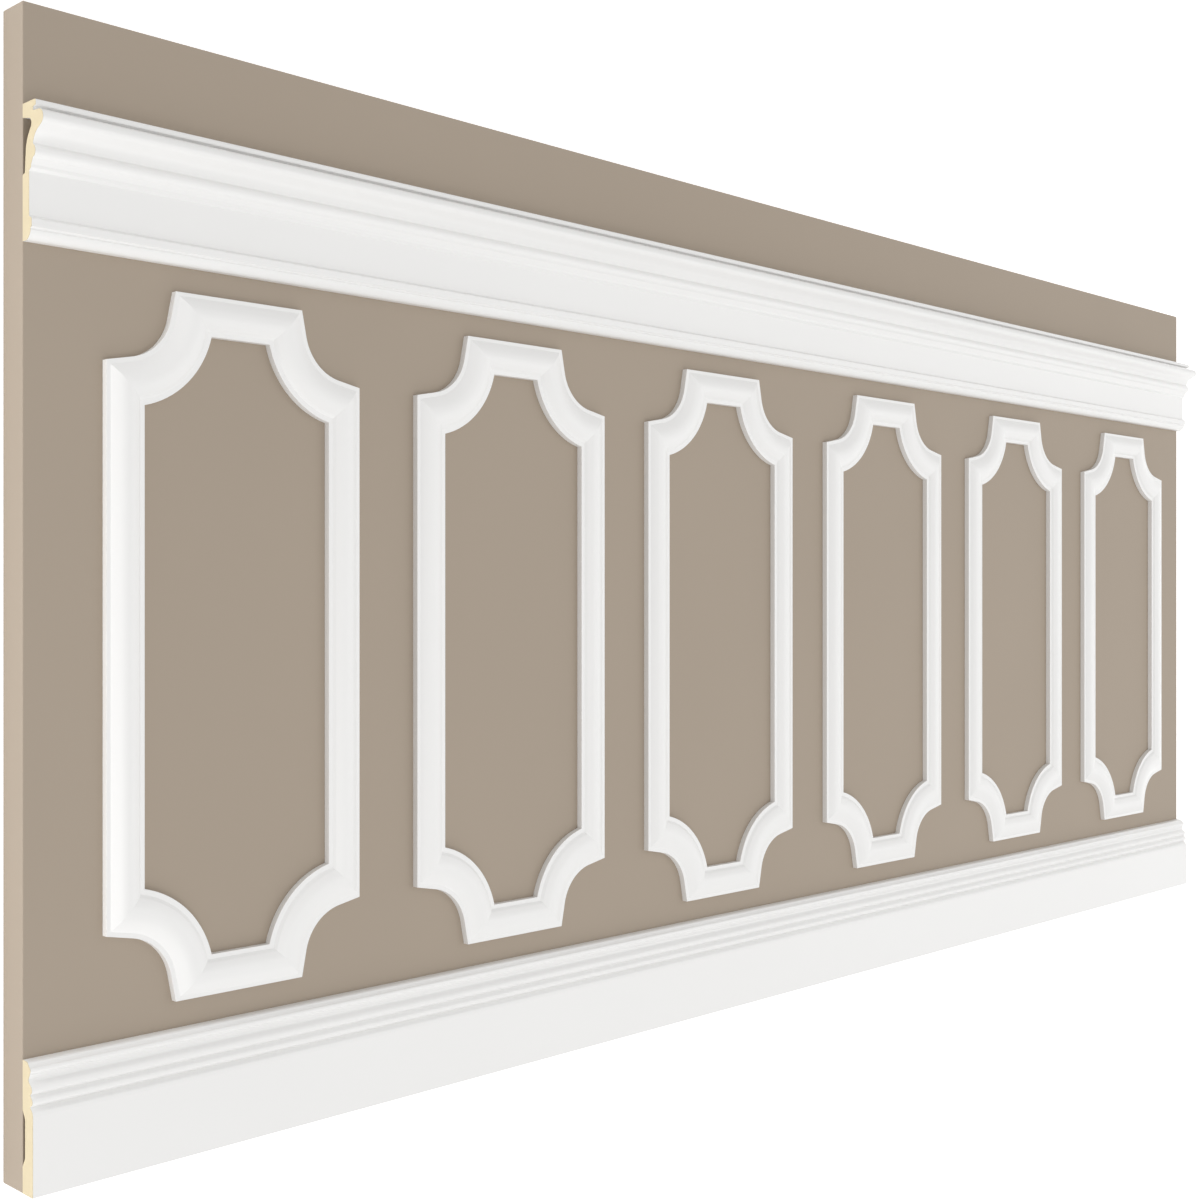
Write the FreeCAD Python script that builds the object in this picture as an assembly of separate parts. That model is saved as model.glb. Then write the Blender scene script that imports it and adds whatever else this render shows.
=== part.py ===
import FreeCAD, Part
import math
import os

# Wainscot panel, in millimetres, lying on its back.
# X runs along the panel, Y up its height and Z out of its face.
# The origin is at the middle of the panel, on the back of its board.

# Backing board
BOARD_LENGTH = 2400.3
BOARD_HEIGHT = 1121.0
BOARD_THICKNESS = 40.0

# Chair rail: its place below the top of the board, and its height
RAIL_DROP = 97.4
RAIL_HEIGHT = 129.0

# Upright faces of the chair rail: how far each stands from the board
RAIL_TOE_DEPTH = 17.6
RAIL_FRIEZE_DEPTH = 12.6
RAIL_NOTCH_DEPTH = 20.4
RAIL_LIP_DEPTH = 25.6

# Corners of the chair rail's foot: depth from the board, height above the foot
RAIL_UNDERCUT = (8.5, 0.0)
RAIL_SPLAY = (13.8, 8.0)
RAIL_TOE = (RAIL_TOE_DEPTH, 10.2)
RAIL_TOE_TOP = (RAIL_TOE_DEPTH, 18.8)
RAIL_LEDGE = (16.6, 20.0)
RAIL_FRIEZE_FOOT = (RAIL_FRIEZE_DEPTH, 21.8)

# Corners of the chair rail's head: depth from the board, drop below the rail's top
RAIL_FRIEZE_TOP = (RAIL_FRIEZE_DEPTH, 64.8)
RAIL_FILLET = (16.2, 62.1)
RAIL_SLOPE_FOOT = (16.5, 59.4)
RAIL_SLOPE_TOP = (19.9, 53.8)
RAIL_BEAD_FOOT = (23.0, 52.4)
RAIL_BEAD_TOP = (21.6, 42.0)
RAIL_QUIRK = (20.0, 40.2)
RAIL_COVE_TOP = (31.5, 27.6)
RAIL_NOSE_FOOT = (36.0, 25.4)
RAIL_NOSE = (40.3, 19.8)
RAIL_NOSE_TOP = (32.5, 11.0)
RAIL_NOTCH_FOOT = (RAIL_NOTCH_DEPTH, 9.8)
RAIL_NOTCH_TOP = (RAIL_NOTCH_DEPTH, 5.8)
RAIL_LIP = (RAIL_LIP_DEPTH, 4.8)
RAIL_LIP_TOP = (RAIL_LIP_DEPTH, 1.2)
RAIL_ARRIS = (24.4, 0.0)

# How far the round stretches of the chair rail swell out, or hollow in where negative
RAIL_LEDGE_SWELL = 0.35
RAIL_BEAD_SWELL = 2.7
RAIL_COVE_SWELL = -2.0
RAIL_NOSE_FOOT_SWELL = 0.85
RAIL_NOSE_SWELL = 2.37
RAIL_ARRIS_SWELL = 0.35

# Hollow in the back of the chair rail: corners as in its head, and its round stretches
RAIL_HOLLOW_TOP = (0.0, 13.0)
RAIL_HOLLOW_CROWN = (14.0, 16.0)
RAIL_HOLLOW_CHEEK = (16.0, 25.0)
RAIL_HOLLOW_WAIST = (6.5, 43.0)
RAIL_HOLLOW_SLOT = (4.5, 65.5)
RAIL_HOLLOW_FOOT = (0.0, 67.0)
RAIL_HOLLOW_CROWN_SWELL = -2.5
RAIL_HOLLOW_WAIST_SWELL = 1.5

# Baseboard: its height, and the depth of its flat face
BASE_HEIGHT = 125.7
BASE_DEPTH = 20.3

# Corners of the baseboard's head: depth from the board, drop below the top
BASE_FACE_TOP = (BASE_DEPTH, 50.7)
BASE_SHOULDER = (18.9, 46.1)
BASE_LOW_QUIRK = (14.8, 42.9)
BASE_LOW_BEAD = (18.6, 39.3)
BASE_LOW_BEAD_TOP = (18.7, 34.7)
BASE_QUIRK = (14.9, 31.3)
BASE_BEAD = (17.5, 28.5)
BASE_BEAD_TOP = (15.8, 21.9)
BASE_NECK_FOOT = (12.2, 19.1)
BASE_NECK = (11.3, 16.1)
BASE_CAP = (14.6, 10.5)
BASE_CAP_TOP = (13.2, 5.3)
BASE_BROW = (10.6, 2.3)
BASE_ARRIS = (7.5, 1.2)

# How far the round stretches of the baseboard swell out, or hollow in where negative
BASE_LOW_BEAD_SWELL = 0.65
BASE_BEAD_SWELL = 1.25
BASE_NECK_SWELL = -0.25
BASE_CAP_SWELL = 1.4
BASE_ARRIS_SWELL = 0.4

# Hollow in the back of the baseboard: its depth, the length of its sloping ends, and its
# distances from the baseboard's foot and top
BASE_HOLLOW_DEPTH = 5.0
BASE_HOLLOW_SLOPE = 8.0
BASE_HOLLOW_FOOT = 25.6
BASE_HOLLOW_TOP = 47.2

# Panel frames: their number and width, and their clearance above and below
PANEL_COUNT = 6
PANEL_WIDTH = 304.8
GAP_TO_RAIL = 26.6
GAP_TO_BASE = 28.4

# Scooped corner: its reach along each side, its lead-in angle and its radius at the outer edge
SCOOP_REACH = 76.2
SCOOP_LEAD_ANGLE = 11.2
SCOOP_RADIUS = 54.5

# Frame moulding, from its outer edge to its inner edge
MOULDING_WIDTH = 41.3
EDGE_HEIGHT = 8.0
CREST_HEIGHT = 14.2
OUTER_FILLET = 3.2
OUTER_SLOPE = 14.3
INNER_SLOPE = 13.8

OUT = FreeCAD.Vector(0, 0, 1)
UP = FreeCAD.Vector(0, 1, 0)


def heading(degrees):
    """A unit vector in the plane of the face, turned from the panel's length."""
    turn = math.radians(degrees)
    return FreeCAD.Vector(math.cos(turn), math.sin(turn), 0)


def section(start, moves):
    """A closed face from a start corner and moves of (across, up, bow).

    The section is walked with its solid on the left. A positive bow swells the stretch out
    of the solid, a negative one hollows it, and zero leaves it straight.
    """
    here = FreeCAD.Vector(start[0], start[1], 0)
    first = here
    edges = []
    for across, up, bow in moves:
        there = FreeCAD.Vector(across, up, 0)
        if bow:
            travel = there - here
            outward = FreeCAD.Vector(travel.y, -travel.x, 0).normalize()
            middle = (here + there) * 0.5 + outward * bow
            edges.append(Part.Arc(here, middle, there).toShape())
        else:
            edges.append(Part.LineSegment(here, there).toShape())
        here = there
    edges.append(Part.LineSegment(here, first).toShape())
    return Part.Face(Part.Wire(edges))


def placed(face, origin, across, up):
    """The section stood at a point, with its two axes along the given directions."""
    along = across.cross(up)
    matrix = FreeCAD.Matrix(
        across.x, up.x, along.x, origin.x,
        across.y, up.y, along.y, origin.y,
        across.z, up.z, along.z, origin.z,
        0, 0, 0, 1,
    )
    stood = face.copy()
    stood.Placement = FreeCAD.Placement(matrix)
    return stood


def full_length(face, foot):
    """A moulding as long as the board, planted on its face with its foot at a height."""
    origin = FreeCAD.Vector(-BOARD_LENGTH / 2, foot, BOARD_THICKNESS)
    return placed(face, origin, OUT, UP).extrude(FreeCAD.Vector(BOARD_LENGTH, 0, 0))


def backing_board():
    corner = FreeCAD.Vector(-BOARD_LENGTH / 2, -BOARD_HEIGHT / 2, 0)
    return Part.makeBox(BOARD_LENGTH, BOARD_HEIGHT, BOARD_THICKNESS, corner)


def to(corner, swell=0):
    """A move of a section to one of its corners."""
    return (corner[0], corner[1], swell)


def down_to(corner, top, swell=0):
    """A move to a corner that is given by its drop below the moulding's top."""
    return (corner[0], top - corner[1], swell)


def chair_rail():
    """Foot, flat frieze, fillet, slope, bead and cove, under a bold nose with a lip on top."""
    top = RAIL_HEIGHT
    foot = [
        to(RAIL_UNDERCUT),
        to(RAIL_SPLAY),
        to(RAIL_TOE),
        to(RAIL_TOE_TOP),
        to(RAIL_LEDGE, RAIL_LEDGE_SWELL),
        to(RAIL_FRIEZE_FOOT),
    ]
    head = [
        down_to(RAIL_FRIEZE_TOP, top),
        down_to(RAIL_FILLET, top),
        down_to(RAIL_SLOPE_FOOT, top),
        down_to(RAIL_SLOPE_TOP, top),
        down_to(RAIL_BEAD_FOOT, top),
        down_to(RAIL_BEAD_TOP, top, RAIL_BEAD_SWELL),
        down_to(RAIL_QUIRK, top),
        down_to(RAIL_COVE_TOP, top, RAIL_COVE_SWELL),
        down_to(RAIL_NOSE_FOOT, top),
        down_to(RAIL_NOSE, top, RAIL_NOSE_FOOT_SWELL),
        down_to(RAIL_NOSE_TOP, top, RAIL_NOSE_SWELL),
        down_to(RAIL_NOTCH_FOOT, top),
        down_to(RAIL_NOTCH_TOP, top),
        down_to(RAIL_LIP, top),
        down_to(RAIL_LIP_TOP, top),
        down_to(RAIL_ARRIS, top, RAIL_ARRIS_SWELL),
        (0, top, 0),
    ]
    hollow = [
        down_to(RAIL_HOLLOW_TOP, top),
        down_to(RAIL_HOLLOW_CROWN, top),
        down_to(RAIL_HOLLOW_CHEEK, top, RAIL_HOLLOW_CROWN_SWELL),
        down_to(RAIL_HOLLOW_WAIST, top, RAIL_HOLLOW_WAIST_SWELL),
        down_to(RAIL_HOLLOW_SLOT, top),
        down_to(RAIL_HOLLOW_FOOT, top),
    ]
    place = BOARD_HEIGHT / 2 - RAIL_DROP - RAIL_HEIGHT
    return full_length(section((0, 0), foot + head + hollow), place)


def baseboard():
    """A tall flat face under a head of two beads, a hollow neck and a small rounded cap."""
    top = BASE_HEIGHT
    front = [
        (BASE_DEPTH, 0, 0),
        down_to(BASE_FACE_TOP, top),
        down_to(BASE_SHOULDER, top),
        down_to(BASE_LOW_QUIRK, top),
        down_to(BASE_LOW_BEAD, top),
        down_to(BASE_LOW_BEAD_TOP, top, BASE_LOW_BEAD_SWELL),
        down_to(BASE_QUIRK, top),
        down_to(BASE_BEAD, top),
        down_to(BASE_BEAD_TOP, top, BASE_BEAD_SWELL),
        down_to(BASE_NECK_FOOT, top),
        down_to(BASE_NECK, top, BASE_NECK_SWELL),
        down_to(BASE_CAP, top),
        down_to(BASE_CAP_TOP, top, BASE_CAP_SWELL),
        down_to(BASE_BROW, top),
        down_to(BASE_ARRIS, top, BASE_ARRIS_SWELL),
        (0, top, 0),
    ]
    hollow_top = BASE_HEIGHT - BASE_HOLLOW_TOP
    hollow = [
        (0, hollow_top, 0),
        (BASE_HOLLOW_DEPTH, hollow_top - BASE_HOLLOW_SLOPE, 0),
        (BASE_HOLLOW_DEPTH, BASE_HOLLOW_FOOT + BASE_HOLLOW_SLOPE, 0),
        (0, BASE_HOLLOW_FOOT, 0),
    ]
    return full_length(section((0, 0), front + hollow), -BOARD_HEIGHT / 2)


def frame_moulding(stretch):
    """The frames' section, stretched in width: outer fillet, slope, flat crest and slope.

    The real crest is rounded and ends in a narrow inner fillet. It is planed in three faces
    here, because the bends of 24 scoops repeat every face of the section.
    """
    corners = [
        (MOULDING_WIDTH, 0),
        (MOULDING_WIDTH, EDGE_HEIGHT),
        (MOULDING_WIDTH - INNER_SLOPE, CREST_HEIGHT),
        (OUTER_FILLET + OUTER_SLOPE, CREST_HEIGHT),
        (OUTER_FILLET, EDGE_HEIGHT),
        (0, EDGE_HEIGHT),
    ]
    return section((0, 0), [(across * stretch, up, 0) for across, up in corners])


def stood_across(start, degrees, stretch):
    """The frames' section stood at a point, with its width to the left of a heading."""
    return placed(frame_moulding(stretch), start, OUT.cross(heading(degrees)), OUT)


def straight(start, degrees, length, stretch):
    """A run of the frame moulding whose outer edge leaves a point on a heading."""
    return stood_across(start, degrees, stretch).extrude(heading(degrees) * length)


def ahead_of(point, degrees):
    """A block that fills everything near a point ahead of a mitre's plane."""
    size = 4 * MOULDING_WIDTH
    block = Part.makeBox(size, 2 * size, 2 * size, FreeCAD.Vector(0, -size, -size))
    block.Placement = FreeCAD.Placement(point, FreeCAD.Rotation(OUT, degrees))
    return block


def mitred(piece, start, start_heading, end, end_heading):
    """A piece trimmed at both ends to planes that face along its own direction of travel."""
    return piece.cut(ahead_of(start, start_heading + 180)).cut(ahead_of(end, end_heading))


def frame_side(start, degrees, length):
    """A stile or rail, cut at 45 degrees at each end to meet a scoop."""
    end = start + heading(degrees) * length
    run = straight(start, degrees, length, 1)
    return mitred(run, start, degrees - 45, end, degrees + 45)


def scoop_lead():
    """The length of the straight stretch at each end of a scoop's outer edge."""
    lead = math.radians(SCOOP_LEAD_ANGLE)
    arc_reach = SCOOP_RADIUS * (math.cos(lead) - math.sin(lead))
    return (SCOOP_REACH - arc_reach) / (math.cos(lead) + math.sin(lead))


def scoop_stretch():
    """How much wider a scoop is than a side, so that both meet along a 45 degree mitre."""
    lead = math.radians(SCOOP_LEAD_ANGLE)
    return math.cos(lead) + math.sin(lead)


def scoop(start, degrees):
    """A scooped corner that follows a side on the given heading: lead, arc and lead."""
    lead = scoop_lead()
    stretch = scoop_stretch()
    entry = degrees + 90 - SCOOP_LEAD_ANGLE
    leave = degrees + SCOOP_LEAD_ANGLE
    arc_start = start + heading(entry) * lead
    centre = arc_start + heading(entry - 90) * SCOOP_RADIUS
    arc_end = centre + heading(leave + 90) * SCOOP_RADIUS
    end = arc_end + heading(leave) * lead
    bend = stood_across(arc_start, entry, stretch).revolve(centre, OUT, leave - entry)
    first = straight(start, entry, lead, stretch)
    last = straight(arc_end, leave, lead, stretch)
    body = bend.fuse([first, last]).removeSplitter()
    return mitred(body, start, degrees + 45, end, degrees + 45)


def panel_frame(width, height):
    """The eight pieces of one frame, with its lower left corner at the origin."""
    reach = SCOOP_REACH
    level = width - 2 * reach
    upright = height - 2 * reach
    corner = FreeCAD.Vector
    return {
        "bottom_rail": frame_side(corner(reach, 0, 0), 0, level),
        "bottom_right_scoop": scoop(corner(width - reach, 0, 0), 0),
        "right_stile": frame_side(corner(width, reach, 0), 90, upright),
        "top_right_scoop": scoop(corner(width, height - reach, 0), 90),
        "top_rail": frame_side(corner(width - reach, height, 0), 180, level),
        "top_left_scoop": scoop(corner(reach, height, 0), 180),
        "left_stile": frame_side(corner(0, height - reach, 0), 270, upright),
        "bottom_left_scoop": scoop(corner(0, reach, 0), 270),
    }


def panel_frames():
    """All the frames, spaced evenly along the board between the rail and the baseboard."""
    gap = (BOARD_LENGTH - PANEL_COUNT * PANEL_WIDTH) / (PANEL_COUNT + 1)
    foot = -BOARD_HEIGHT / 2 + BASE_HEIGHT + GAP_TO_BASE
    top = BOARD_HEIGHT / 2 - RAIL_DROP - RAIL_HEIGHT - GAP_TO_RAIL
    pattern = panel_frame(PANEL_WIDTH, top - foot)
    pieces = {}
    for number in range(PANEL_COUNT):
        left = -BOARD_LENGTH / 2 + gap + number * (PANEL_WIDTH + gap)
        place = FreeCAD.Vector(left, foot, BOARD_THICKNESS)
        for name, piece in pattern.items():
            pieces[f"panel_{number + 1}_{name}"] = piece.translated(place)
    return pieces


def main():
    os.makedirs("parts", exist_ok=True)
    pieces = {
        "backing_board": backing_board(),
        "chair_rail": chair_rail(),
        "baseboard": baseboard(),
    }
    pieces.update(panel_frames())
    for name, piece in pieces.items():
        solid = piece.Solids[0]
        solid.exportStep(f"parts/{name}.step")
        if not name.startswith("panel_") or name.startswith("panel_1_"):
            print(name, "volume", round(solid.Volume), "mm3", "valid", solid.isValid())


main()
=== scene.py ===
# %% [markdown]
# This lesson finishes a wainscot panel that lies on its back: a painted board, a chair rail
# along its top, a baseboard along its foot, and six frames of small moulding between them.
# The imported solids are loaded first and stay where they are, as a fixed frame. Lengths are in
# metres: x runs along the panel, y up its height and z out of its face.

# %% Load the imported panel
import math

import bpy
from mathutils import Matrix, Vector


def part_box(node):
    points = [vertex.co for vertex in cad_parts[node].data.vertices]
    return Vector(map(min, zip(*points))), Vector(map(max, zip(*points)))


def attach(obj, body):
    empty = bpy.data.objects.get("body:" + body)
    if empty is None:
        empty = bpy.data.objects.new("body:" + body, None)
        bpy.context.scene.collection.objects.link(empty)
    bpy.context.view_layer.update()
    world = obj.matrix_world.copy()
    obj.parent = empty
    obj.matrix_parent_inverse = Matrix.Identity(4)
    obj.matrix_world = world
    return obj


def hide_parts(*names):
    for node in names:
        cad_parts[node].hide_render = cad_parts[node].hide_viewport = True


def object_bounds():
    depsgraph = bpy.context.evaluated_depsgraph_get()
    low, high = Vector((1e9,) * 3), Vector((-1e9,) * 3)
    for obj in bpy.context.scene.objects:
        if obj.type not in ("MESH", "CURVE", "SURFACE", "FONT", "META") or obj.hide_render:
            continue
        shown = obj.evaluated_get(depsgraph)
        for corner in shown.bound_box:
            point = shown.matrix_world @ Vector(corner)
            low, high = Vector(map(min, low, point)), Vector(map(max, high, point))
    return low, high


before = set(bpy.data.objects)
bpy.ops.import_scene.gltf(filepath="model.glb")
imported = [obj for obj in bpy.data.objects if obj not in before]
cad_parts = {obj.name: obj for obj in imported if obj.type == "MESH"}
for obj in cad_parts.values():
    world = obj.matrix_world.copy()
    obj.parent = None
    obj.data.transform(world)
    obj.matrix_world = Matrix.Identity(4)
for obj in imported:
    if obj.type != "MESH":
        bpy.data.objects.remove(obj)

cad_low, cad_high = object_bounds()
HALF_LENGTH = cad_high.x
MM = 0.001
print("nodes", len(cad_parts), "size", [round(b - a, 4) for a, b in zip(cad_low, cad_high)])

# %% [markdown]
# The panel is seen from beside its left end and from above, so the far end looks much smaller.
# One turn about the panel's upright axis leans the camera over it, and the panel's own height
# stays upright in the picture. The lens is the one that makes the near and far ends as tall as
# they look in the reference view.

# %% Camera
CAMERA_PLACE = (-1.91475, -0.0049, 1.5069)
CAMERA_LEAN = math.radians(45.39)
CAMERA_LENS = 49.14
CAMERA_RISE = 0.00175

camera_data = bpy.data.cameras.new("camera")
camera_data.lens = CAMERA_LENS
camera_data.sensor_width = 36.0
camera_data.shift_y = CAMERA_RISE
camera = bpy.data.objects.new("camera", camera_data)
bpy.context.scene.collection.objects.link(camera)
camera.location = CAMERA_PLACE
camera.rotation_euler = (0, -CAMERA_LEAN, 0)
bpy.context.scene.camera = camera
print("camera", [round(c, 3) for c in camera.location], "lens", CAMERA_LENS, "mm")

# %% [markdown]
# Every moulding here is one section carried along a path, as when it is run through a die.
# The section could be a curve with a bevel, but drawing it point by point keeps the crisp
# edges crisp. A plane is merged to a single point, the point is extruded along the straight
# stretches and spun round the curved ones, and the outline is closed where it began.

# %% Draw a section from a single point
ARC_STEP = math.radians(7)
UP = Vector((0, 1, 0))
OUT = Vector((0, 0, 1))


def select_only(piece):
    bpy.ops.object.select_all(action="DESELECT")
    piece.select_set(True)
    bpy.context.view_layer.objects.active = piece


def new_point(name, place):
    """One vertex at a place, in edit mode, made by merging a small plane."""
    bpy.ops.object.select_all(action="DESELECT")
    bpy.ops.mesh.primitive_plane_add(size=0.01, location=place)
    piece = bpy.context.object
    piece.name = name
    piece.data.name = name
    bpy.ops.object.transform_apply(location=True, rotation=True, scale=True)
    bpy.ops.object.mode_set(mode="EDIT")
    bpy.ops.mesh.select_mode(type="VERT")
    bpy.ops.mesh.select_all(action="SELECT")
    bpy.ops.mesh.merge(type="CENTER")
    return piece


def draw_to(here, there, bow, normal):
    """Extrudes the chosen point to a new place, straight or round an arc that bows outward."""
    chord = there - here
    if bow == 0:
        bpy.ops.mesh.extrude_vertices_move(TRANSFORM_OT_translate={"value": chord})
        return
    outward = chord.cross(normal).normalized()
    side = math.copysign(1, bow)
    radius = (chord.length_squared / 4 + bow * bow) / (2 * abs(bow))
    centre = (here + there) / 2 + outward * (bow - side * radius)
    angle = 4 * math.atan(2 * abs(bow) / chord.length)
    steps = max(2, round(angle / ARC_STEP))
    bpy.ops.mesh.spin(steps=steps, angle=angle, center=centre, axis=-side * normal)


def draw_section(name, origin, across, up, moves):
    """A closed outline from moves of (across, up, bow) in millimetres, walked solid on the left."""
    piece = new_point(name, origin)
    normal = across.cross(up).normalized()
    here = origin
    for step_across, step_up, bow in moves + [(0, 0, 0)]:
        there = origin + across * (step_across * MM) + up * (step_up * MM)
        draw_to(here, there, bow * MM, normal)
        here = there
    bpy.ops.mesh.select_all(action="SELECT")
    bpy.ops.mesh.remove_doubles(threshold=0.001 * MM)
    return piece


# %% [markdown]
# A painted foam moulding has no knife edges: the mould and the paint leave them soft. So the
# walls are first carried along the path as an open tube, and a bevel rounds only its long
# edges. The ends are filled after that, because they are saw cuts and stay sharp. A weighted
# normal keeps the flats looking flat beside the small round edges.

# %% Round, close and smooth a moulding
SOFT_EDGE = 0.3 * MM
CREASE_ANGLE = math.radians(12)
SMOOTH_ANGLE = math.radians(42)


def use_modifier(piece, kind, **settings):
    """Adds a modifier with its settings and applies it at once."""
    select_only(piece)
    modifier = piece.modifiers.new(kind.lower(), kind)
    for key, value in settings.items():
        setattr(modifier, key, value)
    bpy.ops.object.modifier_apply(modifier=modifier.name)


def close_and_round(piece, width=SOFT_EDGE):
    bpy.ops.mesh.select_all(action="SELECT")
    bpy.ops.mesh.normals_make_consistent(inside=False)
    bpy.ops.object.mode_set(mode="OBJECT")
    limit = {"limit_method": "ANGLE", "angle_limit": CREASE_ANGLE}
    use_modifier(piece, "BEVEL", width=width, segments=2, **limit)
    bpy.ops.object.mode_set(mode="EDIT")
    bpy.ops.mesh.select_all(action="SELECT")
    bpy.ops.mesh.fill_holes(sides=0)
    bpy.ops.mesh.select_all(action="SELECT")
    bpy.ops.mesh.normals_make_consistent(inside=False)


def smooth(piece):
    bpy.ops.object.mode_set(mode="OBJECT")
    select_only(piece)
    bpy.ops.object.shade_smooth_by_angle(angle=SMOOTH_ANGLE)
    use_modifier(piece, "WEIGHTED_NORMAL", keep_sharp=True)


def finished(piece, node):
    """The piece stands for a node: it moves with the panel, and the node is hidden."""
    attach(piece, "root")
    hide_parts(node)
    return piece


# %% [markdown]
# The chair rail has a hollow cove and a bold nose under a thin lip, with a small bead and a
# flat frieze below. It is cast foam, so a hollow runs along its back. Its section stands at
# the left end of the board's face and is extruded over the whole length in one move.

# %% Chair rail
board_low, board_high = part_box("backing_board")
rail_low, rail_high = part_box("chair_rail")
FACE = board_high.z

RAIL_FRONT = [
    (8, 0, 0), (12.2, 2.8, 0.3), (15.6, 8.8, 0.5), (15, 9.7, 0), (15.4, 10.6, 0), (17.6, 11.6, 0),
    (17.6, 18.8, 0), (16.6, 20, 0), (12.6, 21.8, 0), (12.6, 64.2, 0), (16.2, 66.9, 0),
    (16.5, 69.6, 0), (19.9, 75.2, 0), (23, 76.6, 0), (21.6, 87, 2.7), (20, 88.6, 0),
    (31.5, 101.4, -2), (36, 103.6, 0), (40.3, 109.2, 0.85), (32.5, 118, 2.37), (20.4, 118.9, 0),
    (20.4, 122.4, 0), (25.6, 123.4, 0), (25.6, 127.8, 0), (24.4, 129, 0), (0, 129, 0),
]
RAIL_HOLLOW = [
    (0, 116, 0), (14, 113, 0), (16, 104, -2.5), (6.5, 86, 1.5), (4.5, 63.5, 0), (0, 62, 0),
]


def full_length(name, foot, moves):
    """A moulding that runs over the whole length of the board, planted on its face."""
    origin = Vector((-HALF_LENGTH, foot, FACE))
    piece = draw_section(name, origin, OUT, UP, moves)
    run = {"value": (2 * HALF_LENGTH, 0, 0)}
    bpy.ops.mesh.extrude_edges_move(TRANSFORM_OT_translate=run)
    close_and_round(piece)
    smooth(piece)
    return piece


rail = full_length("chair_rail_moulding", rail_low.y, RAIL_FRONT + RAIL_HOLLOW)
finished(rail, "chair_rail")
print("chair rail", len(rail.data.polygons), "faces,", round((rail_high.y - rail_low.y) / MM), "mm high")

# %% [markdown]
# The baseboard is the same kind of moulding, with a tall flat face under two small beads and a
# rounded cap. A shallow hollow in its back leaves room for the glue.

# %% Baseboard
base_low, base_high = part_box("baseboard")
BASE_FRONT = [
    (20.3, 0, 0), (20.3, 76, 0), (19.3, 79.2, 0), (17.8, 81, 0), (14.6, 83.7, 0), (18.5, 86.5, 0),
    (18.7, 91, 0.65), (14.7, 95, 0), (17.5, 97.4, 0), (15.8, 103.8, 1.25), (12.2, 106.6, 0),
    (11.3, 109.6, -0.25), (14, 113.8, 0), (13.7, 114.6, 0), (14.8, 115.8, 0), (13.4, 120.4, 1.2),
    (11.2, 122.6, 0), (9.6, 124.5, 0.2), (7.6, 125.3, 0), (0, 125.7, 0),
]
BASE_HOLLOW = [(0, 78.5, 0), (5, 70.5, 0), (5, 33.6, 0), (0, 25.6, 0)]

base = full_length("baseboard_moulding", base_low.y, BASE_FRONT + BASE_HOLLOW)
finished(base, "baseboard")
print("baseboard", len(base.data.polygons), "faces")

# %% [markdown]
# The small moulding of the frames has a flat fillet along both edges and a rounded crest
# between them. A side is a straight run, and a scoop is a short straight, a bend and another
# short straight. All of them meet along 45 degree cuts, so the scoop's section is a little
# wider than a side's. Each pattern is made once, at the origin.

# %% Patterns for the frames
stile_low, stile_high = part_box("panel_1_left_stile")
level_low, level_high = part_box("panel_1_bottom_rail")
MOULDING_WIDTH = (stile_high.x - stile_low.x) / MM
SCOOP_REACH = stile_low.y - level_low.y
SCOOP_LEAD_ANGLE = math.radians(11.2)
SCOOP_RADIUS = 54.5 * MM
SCOOP_STEP = math.radians(3)
SIDE_SECTION = [
    (MOULDING_WIDTH, 0, 0), (MOULDING_WIDTH, 8, 0), (36.5, 8.1, 0), (33.7, 10.5, 0),
    (28.4, 12.9, 0.1), (24.6, 14, 0.1), (19.8, 14.2, 0.1), (13, 12.8, 0.2), (7.4, 10.2, 0),
    (4.2, 8.1, 0), (0, 8, 0),
]


def heading(angle):
    """A unit vector in the plane of the face, turned from the panel's length."""
    return Vector((math.cos(angle), math.sin(angle), 0))


def mitre(place, facing):
    """Cuts away all that lies ahead of a plane and closes the cut."""
    bpy.ops.mesh.select_all(action="SELECT")
    bpy.ops.mesh.bisect(plane_co=place, plane_no=facing, use_fill=True, clear_outer=True)


def start_run(name, start, angle, stretch):
    """The frame section stood up at a point, with its width to the left of a heading."""
    return draw_section(name, start, heading(angle + math.pi / 2) * stretch, OUT, SIDE_SECTION)


def extrude_along(vector):
    bpy.ops.mesh.extrude_edges_move(TRANSFORM_OT_translate={"value": vector})


EIGHTH = math.pi / 4
SPARE = 3 * MM


def side_pattern(name, length):
    start = heading(0) * -SPARE
    piece = start_run(name, start, 0, 1)
    extrude_along(heading(0) * (length + 2 * SPARE))
    close_and_round(piece)
    mitre(Vector((0, 0, 0)), -heading(-EIGHTH))
    mitre(heading(0) * length, heading(EIGHTH))
    smooth(piece)
    return piece


def scoop_pattern(name):
    stretch = math.cos(SCOOP_LEAD_ANGLE) + math.sin(SCOOP_LEAD_ANGLE)
    arc_reach = SCOOP_RADIUS * (math.cos(SCOOP_LEAD_ANGLE) - math.sin(SCOOP_LEAD_ANGLE))
    lead = (SCOOP_REACH - arc_reach) / stretch
    entry = math.pi / 2 - SCOOP_LEAD_ANGLE
    bend = entry - SCOOP_LEAD_ANGLE
    arc_start = heading(entry) * lead
    centre = arc_start + heading(entry - math.pi / 2) * SCOOP_RADIUS
    piece = start_run(name, heading(entry) * -SPARE, entry, stretch)
    extrude_along(heading(entry) * (lead + SPARE))
    bpy.ops.mesh.spin(steps=round(bend / SCOOP_STEP), angle=bend, center=centre, axis=OUT)
    extrude_along(heading(SCOOP_LEAD_ANGLE) * (lead + SPARE))
    close_and_round(piece)
    mitre(Vector((0, 0, 0)), -heading(EIGHTH))
    mitre(Vector((SCOOP_REACH, SCOOP_REACH, 0)), heading(EIGHTH))
    smooth(piece)
    return piece


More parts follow.
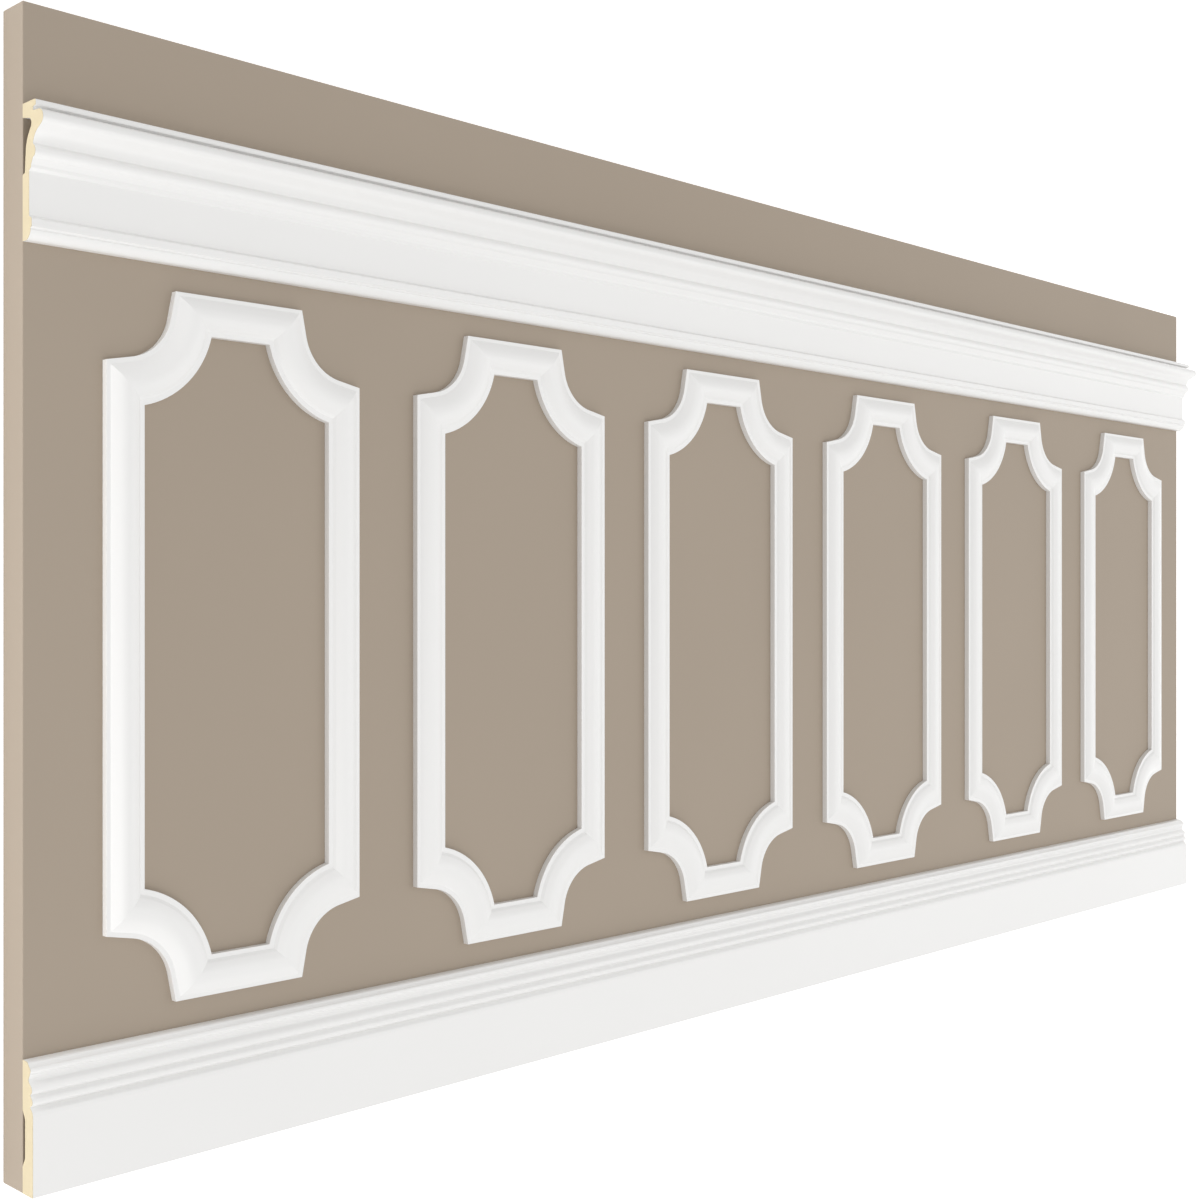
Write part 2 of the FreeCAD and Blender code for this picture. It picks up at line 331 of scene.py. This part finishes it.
level_length = level_high.x - level_low.x
upright_length = stile_high.y - stile_low.y
print("level", level_length, "upright", upright_length, "reach", SCOOP_REACH)
level_pattern = side_pattern("level_pattern", level_length)
upright_pattern = side_pattern("upright_pattern", upright_length)
corner_pattern = scoop_pattern("scoop_pattern")

# %% [markdown]
# All six frames are alike, so the three patterns are copied, turned by quarter turns and set
# down around each opening. A linked copy would be lighter, but every piece here keeps a mesh
# of its own, with its place in the mesh, so that each can be moved or repainted by itself.

# %% Set down the six frames
QUARTER = math.pi / 2
SIDES = ["bottom", "right", "top", "left"]
FRAME_COUNT = 6


def set_down(pattern, node, place, turn):
    """A copy of a pattern with its own mesh, turned and moved, in place of a node."""
    select_only(pattern)
    bpy.ops.object.duplicate(linked=False)
    piece = bpy.context.object
    piece.name = node + "_moulding"
    piece.data.name = piece.name
    piece.rotation_euler.z = turn
    piece.location = place
    bpy.ops.object.transform_apply(location=True, rotation=True, scale=True)
    return finished(piece, node)


def set_down_frame(number):
    """Walks round one frame from its lower left corner: a side, then the scoop that follows it."""
    corner_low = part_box(f"panel_{number}_left_stile")[0]
    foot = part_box(f"panel_{number}_bottom_rail")[0].y
    place = Vector((corner_low.x, foot, FACE)) + heading(0) * SCOOP_REACH
    made = []
    for quarter, side in enumerate(SIDES):
        turn = quarter * QUARTER
        upright = side in ("left", "right")
        pattern = upright_pattern if upright else level_pattern
        length = upright_length if upright else level_length
        following = SIDES[(quarter + 1) % 4]
        row, column = (following, side) if upright else (side, following)
        member = f"{side}_stile" if upright else f"{side}_rail"
        made.append(set_down(pattern, f"panel_{number}_{member}", place, turn))
        place = place + heading(turn) * length
        made.append(set_down(corner_pattern, f"panel_{number}_{row}_{column}_scoop", place, turn))
        place = place + heading(turn) * SCOOP_REACH + heading(turn + QUARTER) * SCOOP_REACH
    return made


frame_pieces = [piece for number in range(1, FRAME_COUNT + 1) for piece in set_down_frame(number)]
for pattern in (level_pattern, upright_pattern, corner_pattern):
    bpy.data.objects.remove(pattern)
print("frame pieces", len(frame_pieces))

# %% [markdown]
# Two finishes share one effect: a rolled or sprayed coat of paint is never quite even. A node
# group makes it once. Broad clouds shift the colour a little, and a fine stipple gives the
# height of the skin. Each paint then sets its own colour, strength and grain.

# %% Paint film group
def add_node(tree, kind, **settings):
    node = tree.nodes.new(kind)
    for key, value in settings.items():
        setattr(node, key, value)
    return node


def wire(tree, source, target):
    tree.links.new(source, target)


def noise(tree, coordinates, scale, detail=2.0, rough=0.5):
    node = add_node(tree, "ShaderNodeTexNoise")
    wire(tree, coordinates, node.inputs["Vector"])
    if isinstance(scale, (int, float)):
        node.inputs["Scale"].default_value = scale
    else:
        wire(tree, scale, node.inputs["Scale"])
    node.inputs["Detail"].default_value = detail
    node.inputs["Roughness"].default_value = rough
    return node.outputs["Fac"]


def math_node(tree, operation, first, second=None, third=None):
    """A math node whose inputs are numbers or sockets."""
    node = add_node(tree, "ShaderNodeMath", operation=operation)
    for place, value in enumerate([first, second, third]):
        if value is None:
            continue
        if isinstance(value, (int, float)):
            node.inputs[place].default_value = value
        else:
            wire(tree, value, node.inputs[place])
    return node.outputs[0]


def new_group(name, inputs, outputs):
    """A shader node group with named sockets, each given as (name, kind, value)."""
    tree = bpy.data.node_groups.new(name, "ShaderNodeTree")
    for label, kind, value in inputs:
        socket = tree.interface.new_socket(name=label, in_out="INPUT", socket_type=kind)
        socket.default_value = value
    for label, kind in outputs:
        tree.interface.new_socket(name=label, in_out="OUTPUT", socket_type=kind)
    start = add_node(tree, "NodeGroupInput")
    end = add_node(tree, "NodeGroupOutput")
    return tree, start, end


FLOAT, COLOR = "NodeSocketFloat", "NodeSocketColor"
film, film_in, film_out = new_group(
    "paint film",
    [
        ("Paint", COLOR, (0.8, 0.8, 0.8, 1)), ("Cloud Strength", FLOAT, 0.02),
        ("Cloud Scale", FLOAT, 4.0), ("Stipple Scale", FLOAT, 700.0),
        ("Gloss Middle", FLOAT, 0.5), ("Gloss Swing", FLOAT, 0.1),
    ],
    [("Color", COLOR), ("Roughness", FLOAT), ("Height", FLOAT)],
)
film_place = add_node(film, "ShaderNodeTexCoord").outputs["Object"]
cloud = noise(film, film_place, film_in.outputs["Cloud Scale"], 3.0)
centred = math_node(film, "SUBTRACT", cloud, 0.5)
shift = math_node(film, "MULTIPLY_ADD", centred, film_in.outputs["Cloud Strength"], 1.0)
tint = add_node(film, "ShaderNodeVectorMath", operation="SCALE")
wire(film, film_in.outputs["Paint"], tint.inputs[0])
wire(film, shift, tint.inputs["Scale"])
wire(film, tint.outputs[0], film_out.inputs["Color"])
stipple = noise(film, film_place, film_in.outputs["Stipple Scale"], 2.0)
raised = math_node(film, "SUBTRACT", stipple, 0.5)
swing = math_node(film, "MULTIPLY", raised, film_in.outputs["Gloss Swing"])
gloss = math_node(film, "ADD", film_in.outputs["Gloss Middle"], swing)
wire(film, gloss, film_out.inputs["Roughness"])
wire(film, stipple, film_out.inputs["Height"])
print("group", film.name, len(film.nodes), "nodes")

# %% [markdown]
# The board is coated with flat taupe wall paint, put on by roller. It hardly shines, and close
# to it the roller has left a fine stipple.

# %% Board paint
TAUPE = (0.389, 0.324, 0.258, 1)
ROLLER_DEPTH = 0.03 * MM
BOARD_SHEEN = 0.25


def new_material(name):
    material = bpy.data.materials.new(name)
    material.use_nodes = True
    tree = material.node_tree
    return material, tree, tree.nodes["Principled BSDF"]


def coat(tree, paint, cloud_strength, cloud_scale, stipple_scale, gloss, gloss_swing):
    """The paint film with its values set, placed in a material."""
    node = add_node(tree, "ShaderNodeGroup", node_tree=film)
    node.inputs["Paint"].default_value = paint
    node.inputs["Cloud Strength"].default_value = cloud_strength
    node.inputs["Cloud Scale"].default_value = cloud_scale
    node.inputs["Stipple Scale"].default_value = stipple_scale
    node.inputs["Gloss Middle"].default_value = gloss
    node.inputs["Gloss Swing"].default_value = gloss_swing
    return node


def raise_skin(tree, shader, height, depth):
    """Turns a height between 0 and 1 into fine relief of a depth in metres."""
    bump = add_node(tree, "ShaderNodeBump")
    bump.inputs["Strength"].default_value = 1.0
    bump.inputs["Distance"].default_value = depth
    wire(tree, height, bump.inputs["Height"])
    wire(tree, bump.outputs["Normal"], shader.inputs["Normal"])


board_paint, tree, shader = new_material("board_paint")
board_coat = coat(
    tree, TAUPE, cloud_strength=0.05, cloud_scale=3.0, stipple_scale=900.0, gloss=0.62, gloss_swing=0.15
)
wire(tree, board_coat.outputs["Color"], shader.inputs["Base Color"])
wire(tree, board_coat.outputs["Roughness"], shader.inputs["Roughness"])
raise_skin(tree, shader, board_coat.outputs["Height"], ROLLER_DEPTH)
shader.inputs["Specular IOR Level"].default_value = BOARD_SHEEN
print("material", board_paint.name)

# %% [markdown]
# The mouldings have a satin white factory coat over cream coloured foam. The foam is bare on
# the saw cuts at the panel's two ends and on the backs. The cuts are found by their place
# along the panel and the backs by the way they face, so one material serves every moulding.

# %% Moulding paint over foam
WHITE = (0.852, 0.846, 0.834, 1)
FOAM = (0.640, 0.548, 0.364, 1)
FOAM_CORE = (0.668, 0.576, 0.398, 1)
CUT_DEPTH = 0.3 * MM
BACK_FACING = -0.5
FOAM_ROUGHNESS = 0.85
CELL_RELIEF = 8.0
SATIN_DEPTH = 0.012 * MM
MIX_FIRST, MIX_SECOND, MIX_RESULT = 6, 7, 2


def mix_colors(tree, mask, first, second):
    node = add_node(tree, "ShaderNodeMix", data_type="RGBA")
    wire(tree, mask, node.inputs[0])
    for place, value in ((MIX_FIRST, first), (MIX_SECOND, second)):
        if isinstance(value, tuple):
            node.inputs[place].default_value = value
        else:
            wire(tree, value, node.inputs[place])
    return node.outputs[MIX_RESULT]


def bare_foam_mask(tree):
    """White where a moulding is cut at the panel's end or faces back to the board."""
    place = add_node(tree, "ShaderNodeTexCoord")
    split = add_node(tree, "ShaderNodeSeparateXYZ")
    wire(tree, place.outputs["Object"], split.inputs[0])
    along = math_node(tree, "ABSOLUTE", split.outputs["X"])
    cut = math_node(tree, "GREATER_THAN", along, HALF_LENGTH - CUT_DEPTH)
    facing = add_node(tree, "ShaderNodeSeparateXYZ")
    wire(tree, place.outputs["Normal"], facing.inputs[0])
    back = math_node(tree, "LESS_THAN", facing.outputs["Z"], BACK_FACING)
    return math_node(tree, "MAXIMUM", cut, back), place.outputs["Object"]


moulding_paint, tree, shader = new_material("moulding_paint")
white_coat = coat(
    tree, WHITE, cloud_strength=0.02, cloud_scale=5.0, stipple_scale=1400.0, gloss=0.38, gloss_swing=0.08
)
bare, foam_place = bare_foam_mask(tree)
cells = noise(tree, foam_place, 1800.0, 4.0, 0.6)
streaks = noise(tree, foam_place, 60.0, 2.0)
foam_color = mix_colors(tree, streaks, FOAM, FOAM_CORE)
surface = mix_colors(tree, bare, white_coat.outputs["Color"], foam_color)
wire(tree, surface, shader.inputs["Base Color"])
bare_rough = math_node(tree, "MULTIPLY", bare, FOAM_ROUGHNESS)
rough_foam = math_node(tree, "MAXIMUM", white_coat.outputs["Roughness"], bare_rough)
wire(tree, rough_foam, shader.inputs["Roughness"])
cell_height = math_node(tree, "MULTIPLY", math_node(tree, "MULTIPLY", cells, bare), CELL_RELIEF)
skin = math_node(tree, "ADD", white_coat.outputs["Height"], cell_height)
raise_skin(tree, shader, skin, SATIN_DEPTH)
print("material", moulding_paint.name)

# %% [markdown]
# Each modelled piece takes its paint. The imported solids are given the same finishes, so that
# whichever of the two is shown, it looks right.

# %% Give every piece its finish
def paint(piece, material):
    piece.data.materials.clear()
    piece.data.materials.append(material)


for piece in [rail, base] + frame_pieces:
    paint(piece, moulding_paint)
for name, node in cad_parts.items():
    material = board_paint if name == "backing_board" else moulding_paint
    for place in range(len(node.material_slots)):
        node.material_slots[place].material = material
print("painted", 2 + len(frame_pieces), "mouldings and the board")

# %% [markdown]
# The board's own solid has the right shape and stays. Its arrises are eased a little by a
# bevel, which first needs the loose corners of the solid's triangles welded together.

# %% Ease the board's edges
WELD_REACH = 0.01 * MM
EASED_EDGE = 0.6 * MM

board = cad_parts["backing_board"]
weld = board.modifiers.new("weld", "WELD")
weld.merge_threshold = WELD_REACH
ease = board.modifiers.new("ease", "BEVEL")
ease.width = EASED_EDGE
ease.segments = 2
ease.limit_method = "ANGLE"
print("board modifiers", [m.name for m in board.modifiers])

# %% [markdown]
# The studio is plain: a pale floor and an even sky, and both read as pure white to the camera.
# The sky's white comes from Is Camera Ray, and so does the glow that lifts the lit floor to
# white. Neither puts more diffuse light on the panel. Glossy and transmitted rays see the same
# white. The glow is strong enough to cover the panel's faint shadow on the floor as well.

# %% Floor and sky
SKY_LIGHT = 0.585
FLOOR_GLOW = 0.5
FLOOR_SIZE = 40
FLOOR_COLOR = (0.9, 0.9, 0.9, 1)
FLOOR_DROP = 0.5 * MM


def seen_directly(tree):
    """One for the rays that show the background: from the camera, mirrored or through glass."""
    rays = add_node(tree, "ShaderNodeLightPath").outputs
    seen = math_node(tree, "MAXIMUM", rays["Is Camera Ray"], rays["Is Glossy Ray"])
    return math_node(tree, "MAXIMUM", seen, rays["Is Transmission Ray"])


bpy.ops.object.select_all(action="DESELECT")
bpy.ops.mesh.primitive_plane_add(size=FLOOR_SIZE, location=(0, 0, -FLOOR_DROP))
floor = bpy.context.object
floor.name = "floor"

floor_paint, tree, shader = new_material("floor_white")
shader.inputs["Base Color"].default_value = FLOOR_COLOR
shader.inputs["Roughness"].default_value = 0.9
shader.inputs["Emission Color"].default_value = (1, 1, 1, 1)
glow = math_node(tree, "MULTIPLY", seen_directly(tree), FLOOR_GLOW)
wire(tree, glow, shader.inputs["Emission Strength"])
paint(floor, floor_paint)

world = bpy.data.worlds.new("sky")
bpy.context.scene.world = world
world.use_nodes = True
sky = world.node_tree.nodes["Background"]
sky.inputs["Color"].default_value = (1, 1, 1, 1)
strength = math_node(world.node_tree, "MAXIMUM", seen_directly(world.node_tree), SKY_LIGHT)
wire(world.node_tree, strength, sky.inputs["Strength"])
print("floor and sky", SKY_LIGHT)

# %% [markdown]
# Five wide soft lamps shape the mouldings. Most of them stand high and beyond the foot and the
# right end, so slopes that face them turn lighter and the far slopes turn a little grey. Two
# strips lie almost at floor level, one off each end. Their light grazes the flat faces without
# brightening them, and catches only the board's edges and the outermost slopes.

# %% Lamps
LAMP_REACH = 5.0
LAMP_SIZE = 3.0
STRIP_RISE = 0.07
STRIP_HEIGHT = 0.12
LAMPS = {
    "right": (0, 25, 20.0), "high_right": (0, 55, 29.5), "foot": (270, 25, 35.0),
    "high_left": (225, 55, 50.5), "head": (90, 55, 15.5),
}
STRIPS = {
    "left": (-1.9, -HALF_LENGTH, 2.4, 6.4), "right": (3.2, HALF_LENGTH, 3.0, 4.0),
}


def soft_lamp(name, place, aim, width, height, watts):
    """A rectangular lamp that faces a point."""
    lamp_data = bpy.data.lights.new(name, "AREA")
    lamp_data.shape = "RECTANGLE"
    lamp_data.size = width
    lamp_data.size_y = height
    lamp_data.energy = watts
    lamp = bpy.data.objects.new(name, lamp_data)
    bpy.context.scene.collection.objects.link(lamp)
    lamp.location = place
    toward = Vector(aim) - Vector(place)
    lamp.rotation_euler = toward.to_track_quat("-Z", "Y").to_euler()


for name, (around, above, watts) in LAMPS.items():
    rise = math.radians(above)
    place = heading(math.radians(around)) * math.cos(rise) + OUT * math.sin(rise)
    soft_lamp(name + "_lamp", place * LAMP_REACH, (0, 0, 0), LAMP_SIZE, LAMP_SIZE, watts)
for name, (along, aim, width, watts) in STRIPS.items():
    place = (along, 0, STRIP_RISE)
    soft_lamp(name + "_strip", place, (aim, 0, STRIP_RISE), width, STRIP_HEIGHT, watts)

scene = bpy.context.scene
scene.view_settings.view_transform = "Standard"
